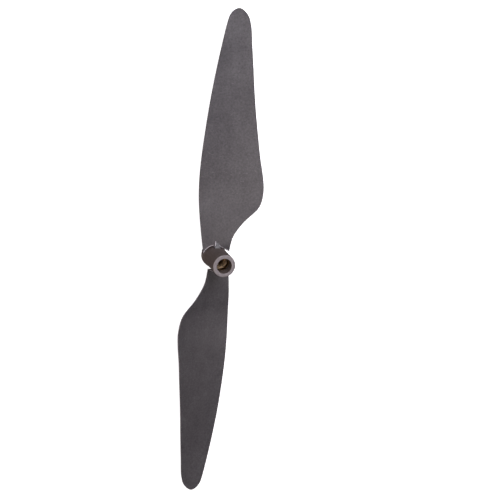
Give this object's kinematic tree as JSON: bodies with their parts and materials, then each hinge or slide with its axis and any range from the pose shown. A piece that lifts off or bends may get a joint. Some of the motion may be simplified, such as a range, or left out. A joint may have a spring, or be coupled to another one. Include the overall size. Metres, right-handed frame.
{
  "type": "propeller",
  "caption": "Fixed-blade propeller for a small multicopter: twisted, round-tipped blades on a long tubular hub with a brass threaded insert, seated on the motor by its barrel.",
  "frame": {"origin": "centre of the outer face of the hub's crown, on the surface that the propeller stands on", "axes": "+Z is the spin axis and points to the motor, out of the barrel's open end; X runs from tip to tip, with blade A on +X; Y is along the chords, with blade A's leading edge on +Y"},
  "size_m": [0.1778, 0.0262, 0.0151],
  "materials": {
    "blade_plastic": "fine moulded grain, satin, glass-filled nylon",
    "hub_plastic": "smooth moulded, satin, glass-filled nylon",
    "insert_brass": "machined, slightly dull"
  },
  "bodies": {
    "root": {"blade_a": "blade_plastic", "blade_b": "blade_plastic", "root_rib_a": "blade_plastic", "root_rib_b": "blade_plastic", "hub_barrel": "hub_plastic", "hub_crown": "hub_plastic", "threaded_insert": "insert_brass"}
  },
  "joints": []
}
